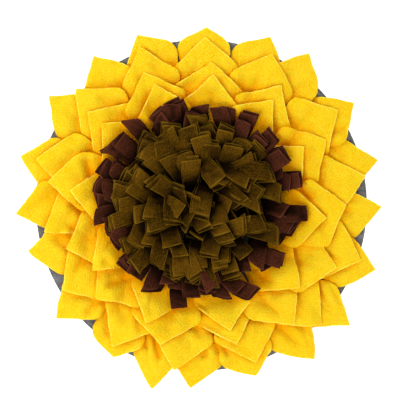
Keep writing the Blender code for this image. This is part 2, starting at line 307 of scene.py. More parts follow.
# Those that are darker by painted shade, as they lie in the dome's shadow, and the tone they are
# given, where the others' is from -1 to 1 at their ends.
PAINTED_SHADE_ENDS = ((-27, -123), (125, -12))
PAINTED_SHADE_TONE = -1.3
OLIVE_CLUSTERS = (
    # x, y, way, slope, strips, cup
    (-6, 104, 90, -25, 2, 0),
    (-37, 97, 92, -30, 3, 0),
    (1, 92, 110, -25, 2, 0),
    (-15, 90, 105, -25, 2, 0),
    (31, 94, 73, -20, 3, 0),
    (-42, 86, 108, -25, 2, 0),
    (-71, 80, 140, -30, 2, 0),
    (-75, 68, 145, -30, 2, 0),
    (-82, 47, 150, -35, 2, 0),
    (-69, 62, 150, -30, 3, 0),
    (-93, 34, 150, -30, 2, 0),
    (-103, 17, 156, -30, 3, 0),
    (-101, -3, 183, -20, 3, 0),
    (-108, -23, 186, -30, 3, 0),
    (-93, -50, 205, -30, 2, 0),
    (-79, -72, 221, -25, 3, 2),
    (-37, -87, 248, -30, 3, 0),
    (-12, -93, 268, -30, 1, 0),
    (-2, -87, 303, -25, 3, 0),
    (12, -96, 290, -30, 2, 0),
    (37, -89, 288, -25, 3, 0),
    (91, -37, 350, -30, 4, 0),
    (94, 10, 355, -25, 3, 0),
    (83, 34, 5, -40, 4, 0),
    (70, 69, 48, -25, 2, 0),
    (52, 76, 60, -35, 2, -3),
    (-79, 36, 145, -25, 3, 0),
    (-45, 75, 105, -20, 2, 0),
    (-24, 78, 95, -15, 1, 0),
    (-2, 83, 98, -30, 3, 0),
    (-6, 73, 100, -10, 1, 0),
    (10, 75, 85, -15, 3, 0),
    (38, 70, 70, -20, 2, 0),
    (-61, 56, 135, -20, 2, 0),
    (-84, 24, 155, -15, 2, 0),
    (-78, -13, 195, -20, 2, 0),
    (-76, -49, 255, -30, 2, 0),
    (-61, -50, 262, -20, 2, 0),
    (-51, -72, 252, -25, 2, 2),
    (-38, -76, 275, -25, 1, 2),
    (-24, -84, 266, -25, 2, 0),
    (-3, -73, 262, -20, 1, 0),
    (23, -76, 282, -30, 2, 0),
    (22, -68, 282, -30, 2, 0),
    (8, -62, 268, -15, 2, 0),
    (54, -59, 298, -20, 1, -2),
    (75, -22, 3, -30, 3, 0),
    (68, -1, 345, -30, 3, 0),
    (68, 9, 320, -20, 2, 0),
    (57, 19, 310, -30, 3, 0),
    (63, 51, 20, -25, 2, 0),
    (61, 26, 325, -30, 1, -4),
    (-59, 30, 140, -10, 3, 0),
    (-64, -24, 200, -30, 3, 0),
    (-58, -19, 262, -10, 2, 0),
    (-42, 57, 118, -10, 2, 0),
    (-21, 62, 105, -20, 2, -3),
    (-13, 55, 95, -10, 2, 0),
    (52, 8, 305, -10, 2, 0),
    (54, -22, 10, -20, 3, 2),
    (31, -49, 285, -20, 4, -2),
    (-24, -61, 285, 0, 1, 5),
    (-34, -49, 280, -15, 1, 0),
    (48, -2, 320, 0, 2, 0),
    (41, 21, 325, 0, 3, 0),
    (40, -13, 40, 40, 1, 0),
    (33, -5, 345, 0, 1, 0),
    (23, -26, 285, 5, 2, 0),
    (-35, -24, 265, 0, 2, 0),
    (-23, -9, 318, 5, 1, 0),
    (-27, 24, 100, 10, 2, 0),
    (23, 19, 305, 5, 3, 0),
    (-8, -38, 250, 60, 1, 0),
    (15, -1, 350, 15, 4, -2),
    (-12, 33, 92, 30, 1, 0),
    (-22, -28, 232, -5, 2, 0),
    (6, -30, 292, 0, 2, 0),
    (-3, -17, 258, -5, 3, 0),
)


# ---- laying cloth ----------------------------------------------------------------------------

# Cloth is made uneven by so many soft waves, each of so many times the length asked for.
WAVES = 4
WAVE_LENGTHS = (0.7, 1.5)


def smooth(low, high, value):
    """0 below low, 1 above high and a soft step between them."""
    part = np.clip((value - low) / (high - low), 0, 1)
    return part * part * (3 - 2 * part)


def either_way(rng, most):
    """A random value from -most to most."""
    return rng.uniform(-most, most)


def waves(points, rng, amplitude, length):
    """Soft unevenness of a sheet, for each of its points."""
    total = np.zeros(points.shape[:2])
    for _ in range(WAVES):
        way = rng.uniform(0, 2 * math.pi)
        phase = rng.uniform(0, 2 * math.pi)
        pitch = length * rng.uniform(*WAVE_LENGTHS)
        along = points[..., 0] * math.cos(way) + points[..., 1] * math.sin(way)
        total += np.sin(2 * math.pi * along / pitch + phase)
    return amplitude * total / math.sqrt(WAVES)


def around(field, cells, gather):
    """gather (a maximum or a mean) of the heights up to so many cells each way of each height."""
    for axis in (0, 1):
        shifted = [np.roll(field, step, axis) for step in range(-cells, cells + 1)]
        field = gather(shifted, axis=0)
    return field


def finer(points, times):
    """A grid of points with so many times the cells each way, in straight lines between them."""
    for axis in (0, 1):
        count = points.shape[axis]
        places = np.linspace(0, count - 1, (count - 1) * times + 1)
        before = np.minimum(places.astype(int), count - 2)
        part = places - before
        part = part[:, None, None] if axis == 0 else part[None, :, None]
        here = np.take(points, before, axis)
        beyond = np.take(points, before + 1, axis)
        points = here * (1 - part) + beyond * part
    return points


class Pile:
    """The height of all that has been laid so far, on a square grid of cells."""

    CELL = 1 * MM
    # Cells from the middle of the grid to each of its sides.
    HALF = 250
    # More cells than any of the windows over which heights are gathered.
    MARGIN = 20
    # A sheet is stamped at so many times its own points each way, so that no cell is missed.
    STAMPED = 4
    # The sky is looked at in so many ways, past what rises at these distances in cells.
    SKY_WAYS = 16
    SKY_DISTANCES = (2, 4, 7, 11, 16, 24, 36)

    def __init__(self):
        across = (np.arange(2 * self.HALF + 1) - self.HALF) * self.CELL
        x, y = np.meshgrid(across, across, indexing="ij")
        on_base = np.hypot(x, y) < BASE_RADIUS + self.CELL
        self.top = np.where(on_base, BASE_THICKNESS, FLOOR_CLEARANCE)

    def cells_at(self, points):
        """The row and the column of the cell under each of the points."""
        nearest = np.rint(points[..., :2] / self.CELL).astype(int) + self.HALF
        return nearest[..., 0], nearest[..., 1]

    def field_at(self, points, treat):
        """The pile's heights, treated by a function, under each of the points."""
        i, j = self.cells_at(points)
        low_i = max(i.min() - self.MARGIN, 0)
        low_j = max(j.min() - self.MARGIN, 0)
        part = self.top[low_i : i.max() + self.MARGIN, low_j : j.max() + self.MARGIN]
        return treat(part)[i - low_i, j - low_j]

    def support(self, points, bridged):
        """The soft surface that cloth laid on the pile takes, over gaps of so many cells."""
        return self.field_at(
            points, lambda top: around(around(top, bridged, np.max), bridged, np.mean)
        )

    def clear(self, points, spread=3, wide=2, air=AIR, most=math.inf):
        """Lifts points of a sheet that would lie in the pile, and softly what is beside them.

        spread: how many points beside them are lifted too; wide: how many cells beside each point
        it keeps off; air: how far it keeps off them; most: how far it may be lifted.
        """
        keep_off = self.field_at(points, lambda top: around(top, wide, np.max)) + air
        lift = np.clip(keep_off - points[..., 2], 0, most)
        for _ in range(spread):
            ends = np.pad(lift, 1, mode="edge")
            mean = (ends[:-2, 1:-1] + ends[2:, 1:-1] + ends[1:-1, :-2] + ends[1:-1, 2:]) / 4
            lift = np.maximum(lift, mean)
        points[..., 2] += lift

    def add(self, points, thickness):
        """Stamps the sheet's upper side into the pile."""
        fine = finer(points, self.STAMPED)
        np.maximum.at(self.top, self.cells_at(fine), fine[..., 2] + thickness)

    def hollows(self):
        """How much of the sky the pile hides from each of its cells, from 0 to 1.

        A rise at a slope hides the square of that slope's sine.
        """
        hidden = np.zeros_like(self.top)
        for number in range(self.SKY_WAYS):
            way = 2 * math.pi * number / self.SKY_WAYS
            steepest = np.zeros_like(self.top)
            for distance in self.SKY_DISTANCES:
                step = (-round(distance * math.cos(way)), -round(distance * math.sin(way)))
                rise = np.roll(self.top, step, (0, 1)) - self.top
                steepest = np.maximum(steepest, rise / (distance * self.CELL))
            hidden += steepest**2 / (1 + steepest**2)
        return around(hidden / self.SKY_WAYS, 1, np.mean)


# ---- meshes ----------------------------------------------------------------------------------

# A cut edge of cloth is a corner sharper than this many degrees, and is rounded by this much.
CUT_CORNER = 55
CUT_ROUNDING = 0.35 * MM

# Cloth this far under the pile's top begins to get painted shade as covered, and gets it wholly this
# much lower.
COVERED_FROM = 3 * MM
COVERED_OVER = 12 * MM


def cloth(name, sheets, thickness, finish):
    """One piece made of open sheets of cloth, each (points, cut, tone).

    cut holds each point's place in the flat cloth and its distance from a cut edge, in mm. tone is
    how light the sheet is, 0 in the middle, at random, and on strips less by painted shade towards
    their roots and on some ends: one number, or one for each of its points.
    """
    verts = []
    faces = []
    cuts = []
    tones_and_shades = []
    start = 0
    for points, cut, tone_and_shade in sheets:
        rows, columns = points.shape[:2]
        verts.append(points.reshape(-1, 3))
        cuts.append(cut.reshape(-1, 3))
        tones_and_shades.append(np.broadcast_to(tone_and_shade, (rows, columns)).ravel())
        index = np.arange(rows * columns).reshape(rows, columns) + start
        corners = (index[:-1, :-1], index[1:, :-1], index[1:, 1:], index[:-1, 1:])
        faces.append(np.stack(corners, axis=-1).reshape(-1, 4))
        start += rows * columns
    mesh = bpy.data.meshes.new(name)
    mesh.from_pydata(np.concatenate(verts).tolist(), [], np.concatenate(faces).tolist())
    mesh.attributes.new("cut", "FLOAT_VECTOR", "POINT").data.foreach_set(
        "vector", np.concatenate(cuts).astype(np.float32).ravel()
    )
    mesh.attributes.new("tone_and_shade", "FLOAT", "POINT").data.foreach_set(
        "value", np.concatenate(tones_and_shades).astype(np.float32)
    )
    mesh.materials.append(finish)
    mesh.shade_smooth()
    made = bpy.data.objects.new(name, mesh)
    bpy.context.scene.collection.objects.link(made)
    body = made.modifiers.new("thickness", "SOLIDIFY")
    body.thickness = thickness
    body.offset = 1
    edge = made.modifiers.new("soft cut edge", "BEVEL")
    edge.width = CUT_ROUNDING
    edge.segments = 2
    edge.limit_method = "ANGLE"
    edge.angle_limit = math.radians(CUT_CORNER)
    return made


def shade_hollows(piece, pile, hidden):
    """Notes on a piece's points how much painted shade they get, from 0 on top to 1 deep in the
    pile: the share of the sky the pile hides from them, and how far they are covered.
    """
    mesh = piece.data
    places = np.empty(3 * len(mesh.vertices), dtype=np.float32)
    mesh.vertices.foreach_get("co", places)
    places = places.reshape(-1, 3)
    cells = pile.cells_at(places)
    under = pile.top[cells] - places[:, 2]
    covered = np.clip((under - COVERED_FROM) / COVERED_OVER, 0, 1)
    depth = np.clip(hidden[cells] + covered, 0, 1)
    mesh.attributes.new("painted_shade", "FLOAT", "POINT").data.foreach_set(
        "value", depth.astype(np.float32)
    )


# ---- petals ----------------------------------------------------------------------------------

# A petal is fleece with a square corner pointing out, pinched and sewn down at its other end.
# Parts of its length run from 0 at its tip to 1 at its root, and parts of its half width from 0 on
# its middle line to 1 at its edge.

# The grid of its points, along the two cut sides that meet at its tip, closer at the edges.
PETAL_STEPS = np.concatenate(([0, 0.02], np.linspace(0.05, 0.95, 33), [0.98, 1]))
# The grid comes to one point at the tip and at the root, where this stands in as a divisor.
TINY = 1e-6

# Its outline: the part of its width that is left at the root, the part of its length where the
# pinch begins, and how its shoulders' roundness varies.
PETAL_PINCH = 0.75
PINCH_FROM = 0.55
SHOULDERS_VARY = (0.6, 1.4)

# Its crown: its height, how that varies, and a power below 1 that brings its top nearer the tip.
PETAL_CROWN = 4.5 * MM
CROWN_VARIES = (0.8, 1.15)
CROWN_FORWARD = 0.8
# The crown falls by this part to the edges of the tip. Between these parts of the petal's length
# its sides become full and round, the fuller the higher this power is.
TIP_FALL = 0.4
SIDES_FILL = (0.34, 0.6)
FULLNESS = 3

# Its few small troughs, which run on to the root: how many, drawn from these; how far from the
# middle line and how far they drift from it, either way, and how wide they are, in parts of the
# half width; how deep, in mm; where they begin and over what part of the length.
TROUGHS = (1, 2, 2, 3)
TROUGH_ASIDE = 0.5
TROUGH_DRIFT = 0.25
TROUGH_WIDTH = (0.08, 0.2)
TROUGH_DEPTH = (1, 3)
TROUGH_FROM = (0.12, 0.4)
TROUGH_BEGINS_OVER = 0.3

# The cloth beside a crease rises by this part of its depth, this many of its widths away.
CREASE_FLANKS = 0.45
FLANKS_AWAY = 1.8

# From this part of a cut side on it is tucked under, and shows no pale line of paler fibres and
# painted highlight: its points count as this much farther from it, in mm.
TUCKED_FROM = 0.8
TUCKED_BY = 4

# The waves of its surface and those of its outline, each a height and a length.
SURFACE_WAVES = ((0.5 * MM, 32 * MM), (0.2 * MM, 12 * MM))
OUTLINE_WAVES = (0.6 * MM, 45 * MM)
# It lies straight over gaps of this many cells each way.
PETAL_BRIDGES = 5
PETAL_SEED = 5


def press_troughs(height, down, edge, rng):
    """Presses a few small random troughs into a petal."""
    for _ in range(rng.choice(TROUGHS)):
        middle = either_way(rng, TROUGH_ASIDE)
        drift = either_way(rng, TROUGH_DRIFT)
        width = rng.uniform(*TROUGH_WIDTH)
        depth = rng.uniform(*TROUGH_DEPTH) * MM
        starts = rng.uniform(*TROUGH_FROM)
        reaching = smooth(starts, starts + TROUGH_BEGINS_OVER, down)
        height -= depth * reaching * np.exp(-(((edge - middle - drift * down) / width) ** 2))


def petal_sheet(row, seam_radius, side, half_width, roundness, rng):
    """A petal's points, with heights above what it rests on, their places in the cut cloth, and the
    flat cloth's size and area.

    down is the part of the petal's length at which a point lies, and edge the part of its half
    width, below 0 on its right.
    """
    angle, reach, turn, spread = row
    angle = math.radians(angle)
    half = math.radians(spread) / 2
    faces = angle + math.radians(turn)
    out = np.array((math.cos(faces), math.sin(faces)))
    left = np.array((-out[1], out[0]))
    tip = reach * MM * np.array((math.cos(angle), math.sin(angle)))
    length = tip @ out - math.sqrt(seam_radius**2 - (tip @ left) ** 2)
    cut_length = side * math.cos(half)

    on_left, on_right = np.meshgrid(PETAL_STEPS, PETAL_STEPS, indexing="ij")
    down = (on_left + on_right) / 2
    room = np.maximum(np.minimum(down, 1 - down), TINY)
    edge = (on_left - on_right) / 2 / room
    in_corner = 2 * cut_length * down
    behind_corner = cut_length + (length - cut_length) * (2 * down - 1)
    inward = np.where(down < 0.5, in_corner, behind_corner)
    widest = min(1, half_width / (side * math.sin(half)))
    gather = widest * (1 - (1 - PETAL_PINCH) * smooth(PINCH_FROM, 1, down))
    roundness *= rng.uniform(*SHOULDERS_VARY)
    wide = (2 * down + gather - np.hypot(2 * down - gather, roundness)) / 2
    across = side * math.sin(half) * np.maximum(wide, 0) * edge

    bell = np.sin(math.pi * down**CROWN_FORWARD)
    tip_profile = 1 - TIP_FALL * edge**2
    full_profile = np.sqrt(np.maximum(1 - np.abs(edge) ** FULLNESS, 0))
    full = smooth(*SIDES_FILL, down)
    profile = tip_profile * (1 - full) + full_profile * full
    height = PETAL_CROWN * rng.uniform(*CROWN_VARIES) * bell * profile
    press_troughs(height, down, edge, rng)

    flat = tip - inward[..., None] * out + across[..., None] * left
    points = np.dstack((flat, height))
    tucked = TUCKED_BY * smooth(TUCKED_FROM, 1, np.maximum(on_left, on_right))
    from_edge = np.minimum(on_left, on_right) * side / MM + tucked
    cut = np.dstack((on_left * side / MM, on_right * side / MM, from_edge))
    width = 2 * side * math.sin(half)
    area = width * cut_length / 2 + width * (length - cut_length)
    return points, cut, (width, length), area


def crease(points, start, end, width, depth):
    """A soft trough with raised flanks along a line, or a ridge where its depth is below 0."""
    along = end - start
    part = np.clip((points[..., :2] - start) @ along / (along @ along), 0, 1)
    away = np.linalg.norm(points[..., :2] - start - part[..., None] * along, axis=-1) / width
    flanks = CREASE_FLANKS * np.exp(-((away - FLANKS_AWAY) ** 2))
    points[..., 2] -= depth * (np.exp(-(away**2)) - flanks)


def lay_petals(pile, finish):
    """All petals, ring by ring, each a piece of its own."""
    rng = random.Random(PETAL_SEED)
    pieces = []
    for name, seam_radius, side, half_width, roundness, rows, creases in RINGS:
        for number, row in enumerate(rows, 1):
            points, cut, flat, area = petal_sheet(
                row, seam_radius * MM, side * MM, half_width * MM, roundness, rng
            )
            for petal, *line, width, depth in creases:
                if petal == number:
                    start = np.array(line[:2]) * MM
                    end = np.array(line[2:]) * MM
                    crease(points, start, end, width * MM, depth * MM)
            for amplitude, length in SURFACE_WAVES:
                points[..., 2] += waves(points, rng, amplitude, length)
            points[..., 2] += AIR + pile.support(points, PETAL_BRIDGES)
            for axis in (0, 1):
                points[..., axis] += waves(points, rng, *OUTLINE_WAVES)
            pile.clear(points)
            pile.add(points, FLEECE)
            tone_and_shade = rng.uniform(-1, 1)
            piece = cloth(f"fleece_{name}_{number:02d}", [(points, cut, tone_and_shade)], FLEECE, finish)
            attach(piece, "root")
            node = "inner_petals" if rows is INNER_RING else f"{name}_{number:02d}"
            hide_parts(node)
            pieces.append(piece)
    return pieces


# ---- strips ----------------------------------------------------------------------------------

# A strip's rows of points, as parts of its length from 1 at its root to 0 at its cut end, and its
# columns, as parts of its half width. The rows of its outer half lie on the pile.
STATIONS = np.concatenate(([1, 0.8], np.linspace(0.64, 0.06, 11), [0.02, 0]))
COLUMNS = np.array((-1, -0.9, -0.5, 0, 0.5, 0.9, 1))
LYING = STATIONS < 0.5

# Between which parts of its length a strip narrows to its root, and between which its forms fade
# from whole to none: its roll, its cup, its curl and its distance from the page under it.
NARROWS = (0.22, 0.85)
ROLL_FADES = (0.3, 0.9)
CUP_FADES = (0.4, 0.9)
CURL_FADES = (0, 0.4)
PAGES_MEET = (0.5, 1)
# A power below 1 makes a strip steeper sooner behind its end.
ARCH_POWER = 0.8

# Strips get painted shade towards their roots, as in the shadow of the strips over them: by this
# much, between these distances from the end, in mm.
ROOT_PAINTED_SHADE = 1.5
ROOT_PAINTED_SHADE_SPAN = (5, 26)

# How the upright strips vary, either way: where the olive ones point, in radians, and the cup of
# all, in mm.
UPRIGHT_TURN = 0.6
UPRIGHT_CUP = 2
# The part of half a turn between one olive upright and the next, as between a sunflower's seeds.
SPIRAL_TURN = 3 - math.sqrt(5)

# How the clusters vary: the spread of their roll in degrees, with more of it in the middle of the
# mat, within a radius in mm; their slope in degrees, either way; how many times PAGE their strips
# are apart; the spread of their curl in mm; their bend in mm, either way.
CLUSTER_ROLL = 14
MIDDLE_ROLL = 32
MIDDLE_RADIUS = 75
CLUSTER_SLOPE = 18
PAGES_APART = (1, 1.5)
CLUSTER_CURL = 3.2
CLUSTER_BEND = 5.5

# How the strips of a cluster vary: where they point, in degrees; how far back each lies for each
# strip under it, and how far aside, in mm; by how many degrees its end points lower for each strip
# over it; how many times the usual length and width it has; its roll in degrees; its cup and curl
# in mm; the waves of its surface, a height and a length.
STRIP_TURN = 8
STRIP_BACK = (3, 5.5)
STRIP_ASIDE = 1.5
STRIP_LOWER = (3, 8)
STRIP_LENGTHS = (0.93, 1.07)
STRIP_WIDTHS = (0.92, 1.1)
STRIP_ROLL = 3
STRIP_CUP = (-2.2, 1.2)
STRIP_CURL = 0.6
STRIP_WAVES = (0.4 * MM, 22 * MM)
STRIP_SEED = 23

# Clusters whose ends rise less than this many degrees are lifted off what lies under them: the gap
# that is left, and how far each colour's may be lifted.
UPTURNED = 30
STRIP_AIR = 0.6 * MM
MOST_LIFT = {"brown": 30 * MM, "olive": 7 * MM}


def dome_height(place):
    """The height of the strips' dome over a place of the mat."""
    distance = np.hypot(*(place - PILE_MIDDLE))
    return DOME_TOP - (DOME_TOP - DOME_RIM) * (distance / DOME_RADIUS) ** 2


def from_middle(distance, way):
    """The place so far from the middle of the strips and in a way around it, in radians."""
    return PILE_MIDDLE + distance * np.array((math.cos(way), math.sin(way)))


def rising(way, slopes):
    """The directions that point a way around the mat and rise by these slopes, in radians."""
    level = np.cos(slopes)
    return np.stack((math.cos(way) * level, math.sin(way) * level, np.sin(slopes)), axis=-1)


def fading(span):
    """1 at a strip's end, falling softly to 0 between two parts of its length, row by row."""
    return (1 - smooth(*span, STATIONS))[:, None]


def strip_sheet(end, way, slope, length, width, roll, cup, curl, bend, above):
    """A strip's points, from its root to its cut end, and their places in the cut cloth.

    curl: how far one corner of its end turns up and the other down; bend: how far its middle lies
    to one side; above: how far it lies above the lowest strip of its cluster.
    """
    from_end = STATIONS * length
    slopes = np.radians(slope + (ROOT_SLOPE - slope) * STATIONS**ARCH_POWER)
    run = np.diff(from_end, append=0)
    middle_slopes = (slopes + np.append(slopes[1:], slopes[-1])) / 2
    steps = rising(way, middle_slopes) * run[:, None]
    middle = end + np.cumsum(steps[::-1], axis=0)[::-1]
    level = np.array((-math.sin(way), math.cos(way), 0))
    face = np.cross(rising(way, slopes), level)
    rolling = roll * fading(ROLL_FADES)
    side = level * np.cos(rolling) + face * np.sin(rolling)
    middle += face * (above * fading(PAGES_MEET))
    middle += level * (bend * 4 * STATIONS * (1 - STATIONS))[:, None]
    half = (width + (STRIP_ROOT_WIDTH - width) * smooth(*NARROWS, STATIONS)) / 2
    points = middle[:, None] + side[:, None] * (half[:, None] * COLUMNS)[..., None]
    bowl = cup * fading(CUP_FADES) * COLUMNS**2
    bowl += curl * fading(CURL_FADES) * COLUMNS
    points += face[:, None] * bowl[..., None]
    points[0, :, 2] = ROOT_HEIGHT
    points[..., 2] = np.maximum(points[..., 2], ROOT_HEIGHT)
    on_length = from_end[:, None] / MM
    from_side = 2 * (1 - np.abs(COLUMNS)) * width / MM / 2
    cut = np.dstack(
        (
            np.broadcast_to(COLUMNS * width / MM / 2, points.shape[:2]),
            np.broadcast_to(on_length, points.shape[:2]),
            np.minimum(from_side, on_length),
        )
    )
    return points, cut


def upright_strip(place, way, below, rng):
    """A strip that stands on the base, its end at a place and so far below the dome."""
    end = np.append(place, dome_height(place) - below)
    cup = either_way(rng, UPRIGHT_CUP) * MM
    points, cut = strip_sheet(end, way, UPRIGHT_SLOPE, end[2], STRIP_WIDTH, 0, cup, 0, 0, 0)
    return points, cut, 0


def olive_uprights(rng):
    """Olive strips between the clusters' roots, in a spiral, and the last of them in the gaps."""
    sheets = []
    for number in range(OLIVE_UPRIGHTS):
        way = number * math.pi * SPIRAL_TURN
        place = from_middle(UPRIGHT_SPACING * math.sqrt(number), way)
        still_to_come = OLIVE_UPRIGHTS - 1 - number
        if still_to_come < len(UPRIGHTS_IN_GAPS):
            place = np.array(UPRIGHTS_IN_GAPS[still_to_come]) * MM
            way = math.atan2(place[1], place[0])
        way += either_way(rng, UPRIGHT_TURN)
        sheets.append(upright_strip(place, way, OLIVE_UPRIGHTS_BELOW, rng))
    return sheets


def brown_uprights(rng):
    """Brown strips between the clusters' roots, in a ring."""
    sheets = []
    for number in range(BROWN_UPRIGHTS):
        way = 2 * math.pi * number / BROWN_UPRIGHTS
        place = from_middle(BROWN_UPRIGHTS_RADIUS, way)
        sheets.append(upright_strip(place, way, BROWN_UPRIGHTS_BELOW, rng))
    return sheets


def lay_cluster(pile, row, most_lift, rng):
    """One cluster of strips, laid on the pile like pages, lowest first."""
    x, y, way, slope, count, cup = row
    place = np.array((x, y)) * MM
    end = np.append(place, dome_height(place))
    in_middle = max(0, 1 - math.hypot(x, y) / MIDDLE_RADIUS)
    roll = math.radians(rng.gauss(0, CLUSTER_ROLL + MIDDLE_ROLL * in_middle))
    tilt = slope + either_way(rng, CLUSTER_SLOPE)
    apart = PAGE * rng.uniform(*PAGES_APART)
    curl = rng.gauss(0, CLUSTER_CURL)
    bend = either_way(rng, CLUSTER_BEND) * MM
    length = STRIP_LENGTH
    if (x, y) in STRAIGHT_ENDS:
        roll = curl = bend = 0
        length = STRAIGHT_LENGTH
    sheets = []
    for number in range(count):
        turned = math.radians(way + either_way(rng, STRIP_TURN))
        back = number * rng.uniform(*STRIP_BACK) * MM
        aside = either_way(rng, STRIP_ASIDE) * MM
        ahead = np.array((math.cos(turned), math.sin(turned), 0))
        beside = np.array((-math.sin(turned), math.cos(turned), 0))
        points, cut = strip_sheet(
            end=end - ahead * back + beside * aside,
            way=turned,
            slope=tilt - (count - 1 - number) * rng.uniform(*STRIP_LOWER),
            length=length * rng.uniform(*STRIP_LENGTHS),
            width=STRIP_WIDTH * rng.uniform(*STRIP_WIDTHS),
            roll=roll + math.radians(either_way(rng, STRIP_ROLL)),
            cup=(cup + rng.uniform(*STRIP_CUP)) * MM,
            curl=(curl + either_way(rng, STRIP_CURL)) * MM,
            bend=bend,
            above=number * apart,
        )
        points[..., 2] += waves(points, rng, *STRIP_WAVES) * LYING[:, None]
        lying = points[LYING]
        if slope < UPTURNED:
            pile.clear(lying, spread=6, wide=1, air=STRIP_AIR, most=most_lift)
        pile.add(lying, STRIP_THICKNESS)
        points[LYING] = lying
        # A random lightness, less the painted shade towards the root.
        tone_and_shade = rng.uniform(-1, 1) - ROOT_PAINTED_SHADE * smooth(*ROOT_PAINTED_SHADE_SPAN, cut[..., 1])
        # Painted shade: these ends lie in the dome's shadow.
        if (x, y) in PAINTED_SHADE_ENDS:
            tone_and_shade = PAINTED_SHADE_TONE
        sheets.append((points, cut, tone_and_shade))
    return sheets


def lay_strips(pile, finishes):
    """All strips, from the rim of the dome to its top, one piece of each colour."""
    rng = random.Random(STRIP_SEED)
    laid = {"brown": [], "olive": []}
    laid["olive"] += olive_uprights(rng)
    laid["brown"] += brown_uprights(rng)
    for colour, clusters in (("brown", BROWN_CLUSTERS), ("olive", OLIVE_CLUSTERS)):
        for row in clusters:
            laid[colour] += lay_cluster(pile, row, MOST_LIFT[colour], rng)
    pieces = []
    for colour, sheets in laid.items():
        piece = cloth(f"fleece_{colour}_strips", sheets, STRIP_THICKNESS, finishes[colour])
        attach(piece, "root")
        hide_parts(f"{colour}_strips")
        pieces.append(piece)
    return pieces


# ---- materials -------------------------------------------------------------------------------

# The patterns' real sizes in mm, and how many times coarser some are drawn, because they are too
# fine to show in the render.
NAP_CLUMPS = 1
NAP_COARSER = 3.125
KNIT_RIBS = 1
RIBS_COARSER = 3.2
BRUSHED_PATCHES = 100 / 3
FELT_TUFTS = 1
TUFTS_COARSER = 20 / 7
FELT_CLOUDS = 12.5

# Fleece: how much its rib shows in its relief and its brushed patches in its shade, beside the
# nap's 1, and the shade that lies midway between its deep and its lit colour.
RIB_SHARE = 0.12
PATCH_SHARE = 0.3
MIDDLE_SHADE = 0.685
# Painted shade begins at this value of the pile's hidden sky and cover.
PAINTED_SHADE_FROM = 0.08
# Its pale cut-edge line, paler fibres and a painted highlight, shows within these distances of a
# cut edge, in mm, from none to whole, and only in the brushed patches between these values, from
# none to whole.
CORE_AND_HIGHLIGHT_WITHIN = (1.5, 0.5)
CORE_AND_HIGHLIGHT_PATCHES = (0.25, 0.6)
# How far red, green and blue light go in it, as parts of the reach.
LIGHT_GOES = (1, 0.1, 0.02)
LIGHT_REACH = 4 * MM

# Felt: how much its clouds show beside its tufts, between which values dark fibres give way to
# pale ones, and how high its tufts stand.
CLOUD_SHARE = 0.6
HEATHER = (0.55, 1.05)
FELT_RELIEF = 0.4 * MM

# The floor glows a little, which keeps it as pale as a lit white ground.
FLOOR_GLOW = 0.6


def linear(hex_colour):
    """An sRGB colour, written as six hex digits, as linear red, green, blue and alpha."""
    parts = [int(hex_colour[i : i + 2], 16) / 255 for i in (0, 2, 4)]
    return [p / 12.92 if p <= 0.04045 else ((p + 0.055) / 1.055) ** 2.4 for p in parts] + [1]


def noise_scale(apart):
    """The scale of a noise whose patches are so far apart, in mm: its cells are half as wide."""
    return 2 / (apart * MM)


def bands_scale(apart):
    """The scale of a wave texture whose bands are so far apart, in the units of its places."""
    return math.pi / 10 / apart


def give(tree, node, inputs):
    """Gives a shader node's inputs values or links."""
    for name, value in inputs.items():
        if isinstance(value, bpy.types.NodeSocket):
            tree.links.new(value, node.inputs[name])
        else:
            node.inputs[name].default_value = value


def add(tree, kind, inputs=None, **settings):
    """Adds a shader node with its settings, and gives its inputs values or links."""
    made = tree.nodes.new(kind)
    for name, value in settings.items():
        setattr(made, name, value)
    give(tree, made, inputs or {})
    return made


def new_material(name):
    """A new material, its node tree and its shader."""
    made = bpy.data.materials.new(name)
    made.use_nodes = True
    return made, made.node_tree, made.node_tree.nodes["Principled BSDF"]


def fleece_relief(tree, cut, place):
    """The height of fleece's nap and rib, and the patches in which it is brushed more or less."""
    # Real clumps of nap are about 1 mm apart. They are drawn about 3 mm apart, so that they show.
    nap = add(
        tree,
        "ShaderNodeTexNoise",
        {
            "Vector": place,
            "Scale": noise_scale(NAP_CLUMPS * NAP_COARSER),
            "Detail": 1,
            "Roughness": 0.6,
        },
    )
    # Patches about 33 mm apart are brushed a little more or less.
    patches = add(
        tree,
        "ShaderNodeTexNoise",
        {"Vector": place, "Scale": noise_scale(BRUSHED_PATCHES), "Detail": 2},
    )
    # Real ribs of the knit are about 1 mm apart. They are drawn 3.2 mm apart, so that they show.
    rib = add(
        tree,
        "ShaderNodeTexWave",
        {
            "Vector": cut,
            "Scale": bands_scale(KNIT_RIBS * RIBS_COARSER),
            "Distortion": 2,
            "Detail": 1,
            "Detail Scale": 4,
        },
        bands_direction="X",
    )
    height = add(
        tree,
        "ShaderNodeMath",
        {0: rib.outputs["Fac"], 1: RIB_SHARE, 2: nap.outputs["Fac"]},
        operation="MULTIPLY_ADD",
    )
    return height.outputs[0], patches.outputs["Fac"]


def fleece_core_and_highlight(tree, from_edge, patches, edge):
    """How much of a pale line fleece shows at cut edges, partly its paler inner fibres and partly a
    painted highlight, uneven as scissors leave it.
    """
    near_edge = add(
        tree,
        "ShaderNodeMapRange",
        {
            "Value": from_edge,
            "From Min": CORE_AND_HIGHLIGHT_WITHIN[0],
            "From Max": CORE_AND_HIGHLIGHT_WITHIN[1],
            "To Max": edge,
        },
    )
    uneven = add(
        tree,
        "ShaderNodeMapRange",
        {"Value": patches, "From Min": CORE_AND_HIGHLIGHT_PATCHES[0], "From Max": CORE_AND_HIGHLIGHT_PATCHES[1]},
    )
    core_and_highlight = add(
        tree,
        "ShaderNodeMath",
        {0: near_edge.outputs[0], 1: uneven.outputs[0]},
        operation="MULTIPLY",
    )
    return core_and_highlight.outputs[0]


